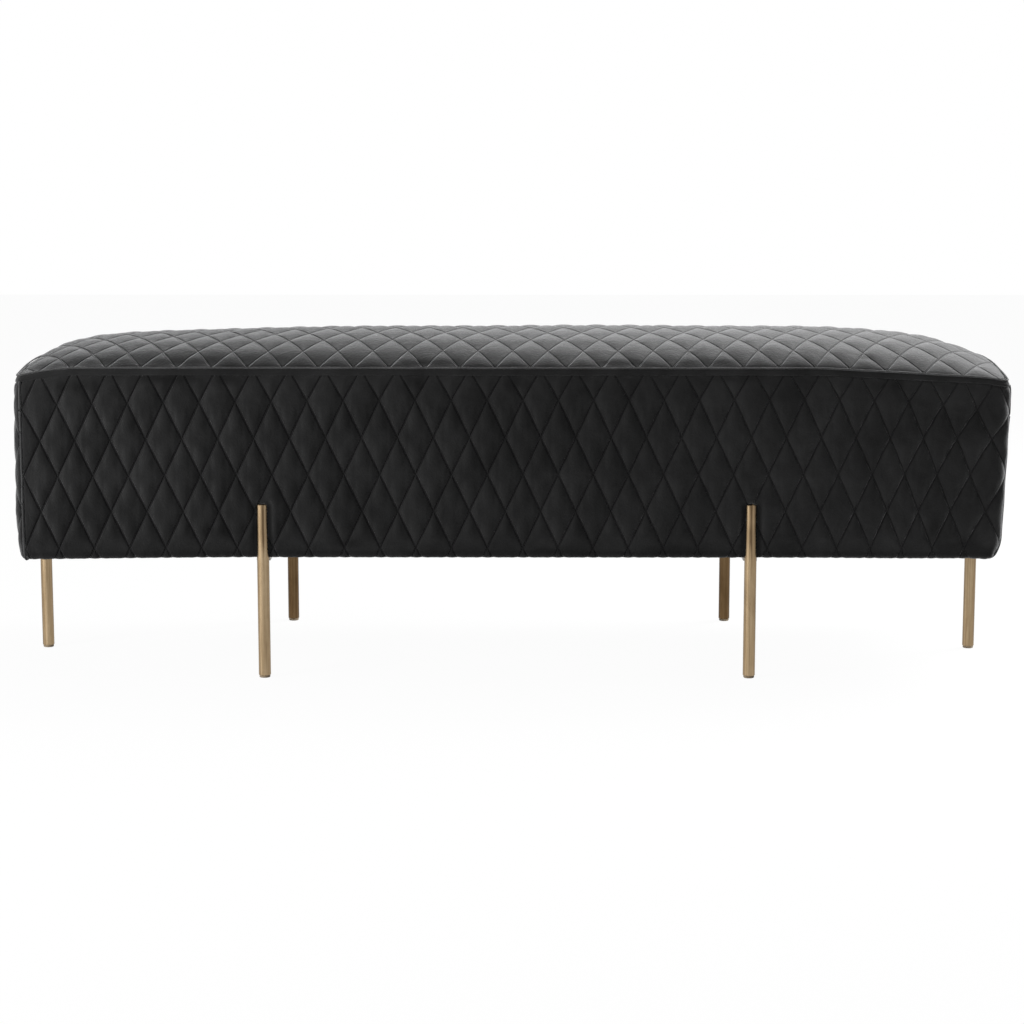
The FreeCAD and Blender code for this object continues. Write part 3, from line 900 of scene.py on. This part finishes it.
def brass(name, kept):
    """Brushed antique brass: fine lengthwise brushing, tarnish, a painted dark rim and a painted reflection
    of the dark cloth on the legs' upper part.

    `kept` is the share of each colour that is left.
    """
    material, tree, surface = shader(name)
    brushing = noise(tree, 420.0, 3.0, 0.65, stretch=(1.0, 1.0, 0.02))
    tarnish = noise(tree, 22.0, 5.0, 0.62, 0.6, stretch=(1.0, 1.0, 0.5))
    tone = maths(tree, "ADD", maths(tree, "MULTIPLY", brushing, 0.55), maths(tree, "MULTIPLY", tarnish, 0.45))
    # Painted reflection: the rim of each leg is darkened.
    rim = facing_away(tree, 0.35)
    tone = maths(tree, "SUBTRACT", tone, maths(tree, "MULTIPLY", rim, 0.22))
    height = tree.nodes.new("ShaderNodeSeparateXYZ")
    tree.links.new(tree.nodes.new("ShaderNodeNewGeometry").outputs["Position"], height.inputs[0])
    # Painted reflection of the dark cloth: from about 16 cm up each leg darkens, most down its middle.
    beside_cloth = maths(tree, "MULTIPLY_ADD", height.outputs[2], 40.0, -6.3, clamp=True)
    painted_reflection = maths(tree, "MULTIPLY_ADD", rim, -24.0, 1.0, clamp=True)
    painted_reflection = maths(tree, "MULTIPLY_ADD", painted_reflection, 0.24, 0.05)
    tone = maths(tree, "SUBTRACT", tone, maths(tree, "MULTIPLY", painted_reflection, beside_cloth))
    stops = [(0.24, (0.14, 0.092, 0.05)), (0.42, (0.35, 0.25, 0.145)), (0.62, (0.55, 0.42, 0.265))]
    stops = [(place, tuple(share * tint for share, tint in zip(kept, colour))) for place, colour in stops]
    tree.links.new(ramp(tree, tone, stops), surface.inputs["Base Color"])
    tree.links.new(maths(tree, "MULTIPLY_ADD", tone, 0.25, 0.28), surface.inputs["Roughness"])
    tree.links.new(bump(tree, brushing, 0.25, 0.0004), surface.inputs["Normal"])
    surface.inputs["Metallic"].default_value = 1.0
    return material


def worked(name, low, high, scale, grain, relief, rough, metallic=0.0, stretch=(1, 1, 1)):
    """A two-tone material with its own grain: low and high colours, and a fine relief."""
    material, tree, surface = shader(name)
    broad = noise(tree, scale, 4.0, 0.6, 0.4, stretch=stretch)
    fine = noise(tree, grain, 3.0, 0.65, stretch=stretch)
    tone = maths(tree, "ADD", maths(tree, "MULTIPLY", broad, 0.6), maths(tree, "MULTIPLY", fine, 0.4))
    tree.links.new(ramp(tree, tone, [(0.34, low), (0.66, high)]), surface.inputs["Base Color"])
    tree.links.new(maths(tree, "MULTIPLY_ADD", tone, 0.2, rough), surface.inputs["Roughness"])
    tree.links.new(bump(tree, fine, 0.4, relief), surface.inputs["Normal"])
    surface.inputs["Metallic"].default_value = metallic
    return material


quilt_velvet = velvet("quilted_velvet", True)
plain_velvet = velvet("plain_velvet", False)
# A copy of the plain velvet 3.2 times paler: a painted highlight on the seam ridge and the upright seams.
painted_highlight_velvet = velvet("painted_highlight_velvet", False, 3.2)
rod_brass = brass("antique_brass", (1.0, 1.0, 1.0))
# A darker copy of the brass for the rear legs: painted shade.
painted_shade_brass = brass("antique_brass_painted_shade", (0.40, 0.34, 0.27))
thread = worked("sewing_thread", (0.006, 0.006, 0.006), (0.02, 0.02, 0.021),
                scale=300.0, grain=2500.0, relief=0.0002, rough=0.5)
dust_cloth = worked("dust_cloth", (0.010, 0.010, 0.010), (0.024, 0.024, 0.024),
                    scale=60.0, grain=1400.0, relief=0.0003, rough=0.75)
steel = worked("zinc_steel", (0.36, 0.35, 0.33), (0.60, 0.59, 0.57),
               scale=40.0, grain=900.0, relief=0.0002, rough=0.3, metallic=1.0)
bracket_steel = worked("bracket_steel", (0.42, 0.41, 0.39), (0.66, 0.65, 0.62),
                       scale=30.0, grain=700.0, relief=0.0003, rough=0.38, metallic=1.0, stretch=(1, 1, 0.3))
nylon = worked("nylon_glide", (0.24, 0.18, 0.12), (0.34, 0.27, 0.18),
               scale=120.0, grain=1800.0, relief=0.0002, rough=0.45)
ply = worked("plywood", (0.42, 0.29, 0.16), (0.62, 0.46, 0.29),
             scale=12.0, grain=240.0, relief=0.0004, rough=0.55, stretch=(0.25, 1, 1))
pine = worked("softwood", (0.46, 0.31, 0.16), (0.68, 0.5, 0.31),
              scale=18.0, grain=260.0, relief=0.0005, rough=0.55, stretch=(1, 1, 0.2))
foam = worked("foam", (0.62, 0.55, 0.33), (0.78, 0.71, 0.48),
              scale=30.0, grain=900.0, relief=0.0008, rough=0.85)

families = [("leg_bolts", steel), ("leg_washers", steel), ("bracket_screws", steel), ("frame_screws", steel),
            ("dust_cover_staples", steel), ("bracket_", bracket_steel), ("foot_", nylon),
            ("leg_rear", painted_shade_brass), ("leg_", rod_brass),
            ("base_board", ply), ("deck_board", ply), ("side_board", ply), ("end_board", ply),
            ("corner_block", pine), ("cross_rail", pine), ("side_foam", foam), ("end_foam", foam),
            ("seat_foam", foam), ("cover_", plain_velvet), ("dust_cover", dust_cloth)]
for name, part in nodes.items():
    material = next(finish for start, finish in families if name.startswith(start))
    for place in part.material_slots:
        place.link = "OBJECT"
        place.material = material


# Hanging every piece on the frame

def fit(piece, material, place, *stands_for):
    piece.data.materials.clear()
    piece.data.materials.append(material)
    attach(piece, "root")
    if stands_for:
        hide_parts(*stands_for)


fit(quilted["top"], quilt_velvet, "velvet", "cover_top", "seat_foam")
for side, inner in (("front", "side_foam_front"), ("rear", "side_foam_rear"),
                    ("end_left", "end_foam_left"), ("end_right", "end_foam_right")):
    fit(quilted[side], quilt_velvet, "velvet", "cover_" + side, inner)
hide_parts("cover_turned_edge")
fit(band, plain_velvet, "velvet", "cover_band")
fit(ridge, painted_highlight_velvet, "velvet")
for seam in corner_seams:
    fit(seam, painted_highlight_velvet, "velvet")
fit(band_stitches, thread, "velvet")
fit(dust, dust_cloth, "dust_cloth", "dust_cover")


# Camera, floor and light

CAMERA_LENS = 82.83
CAMERA_PLACE = (0.0241, -3.249, 0.672)
CAMERA_TILT = 8.41
CAMERA_TURN = 0.321
FLOOR_HALF_SIZE = 9
FLOOR_WHITE_SHARE = 0.965
FLOOR_COLOUR = (0.82, 0.82, 0.82, 1.0)
WORLD_LEVEL = 0.17
WHITE = (1.0, 1.0, 1.0, 1.0)

lens = bpy.data.cameras.new("camera")
lens.sensor_width = 36.0
lens.lens = CAMERA_LENS
lens.clip_end = 50.0
camera = add_object("camera", lens)
camera.location = CAMERA_PLACE
camera.rotation_euler = (math.radians(90 - CAMERA_TILT), 0.0, math.radians(CAMERA_TURN))
scene.camera = camera
scene.view_settings.view_transform = "Standard"


def white_to_camera(tree, shade, share):
    """White where the camera sees it, with `share` of the shading kept for the shadow."""
    output = tree.nodes.new("ShaderNodeOutputMaterial")
    path = tree.nodes.new("ShaderNodeLightPath")
    seen = maths(tree, "MAXIMUM", path.outputs["Is Camera Ray"], path.outputs["Is Glossy Ray"])
    seen = maths(tree, "MAXIMUM", seen, path.outputs["Is Transmission Ray"])
    light = tree.nodes.new("ShaderNodeEmission")
    light.inputs["Strength"].default_value = 1.0
    mix = tree.nodes.new("ShaderNodeMixShader")
    tree.links.new(maths(tree, "MULTIPLY", seen, share), mix.inputs[0])
    tree.links.new(shade, mix.inputs[1])
    tree.links.new(light.outputs[0], mix.inputs[2])
    tree.links.new(mix.outputs[0], output.inputs[0])


def white_floor():
    corners = [(-1, -1), (1, -1), (1, 1), (-1, 1)]
    points = [(FLOOR_HALF_SIZE * x, FLOOR_HALF_SIZE * y, 0) for x, y in corners]
    data = bpy.data.meshes.new("floor")
    data.from_pydata(points, [], [(0, 1, 2, 3)])
    paper = bpy.data.materials.new("floor_white")
    paper.use_nodes = True
    paper.node_tree.nodes.clear()
    matt = paper.node_tree.nodes.new("ShaderNodeBsdfDiffuse")
    matt.inputs["Color"].default_value = FLOOR_COLOUR
    white_to_camera(paper.node_tree, matt.outputs[0], FLOOR_WHITE_SHARE)
    data.materials.append(paper)
    return add_object("floor", data)


def background(tree, strength):
    made = tree.nodes.new("ShaderNodeBackground")
    made.inputs["Color"].default_value = WHITE
    made.inputs["Strength"].default_value = strength
    return made.outputs[0]


def studio_world():
    """Even light of a low level, with a background that the camera sees as white."""
    world = bpy.data.worlds.new("studio")
    world.use_nodes = True
    tree = world.node_tree
    tree.nodes.clear()
    output = tree.nodes.new("ShaderNodeOutputWorld")
    path = tree.nodes.new("ShaderNodeLightPath")
    mix = tree.nodes.new("ShaderNodeMixShader")
    tree.links.new(path.outputs["Is Camera Ray"], mix.inputs[0])
    tree.links.new(background(tree, WORLD_LEVEL), mix.inputs[1])
    tree.links.new(background(tree, 1.0), mix.inputs[2])
    tree.links.new(mix.outputs[0], output.inputs[0])
    return world


def lamp(name, place, goal, size, power):
    """A soft rectangular lamp at `place` that points at `goal`."""
    data = bpy.data.lights.new(name, "AREA")
    data.shape = "RECTANGLE"
    data.size, data.size_y = size
    data.energy = power
    light = add_object(name, data)
    light.location = place
    direction = np.array(goal) - np.array(place)
    light.rotation_euler = Vector(direction).to_track_quat("-Z", "Y").to_euler()


floor = white_floor()
scene.world = studio_world()
lamp("behind_right", (2.2, 1.1, 1.7), (0.45, 0.0, 0.42), (1.4, 1.4), 105.0)
lamp("overhead", (1.3, 0.5, 2.2), (0.3, 0.0, 0.3), (1.8, 1.2), 50.0)
lamp("front_left", (-2.2, -1.5, 0.95), (-0.1, -0.2, 0.25), (0.9, 0.9), 50.0)
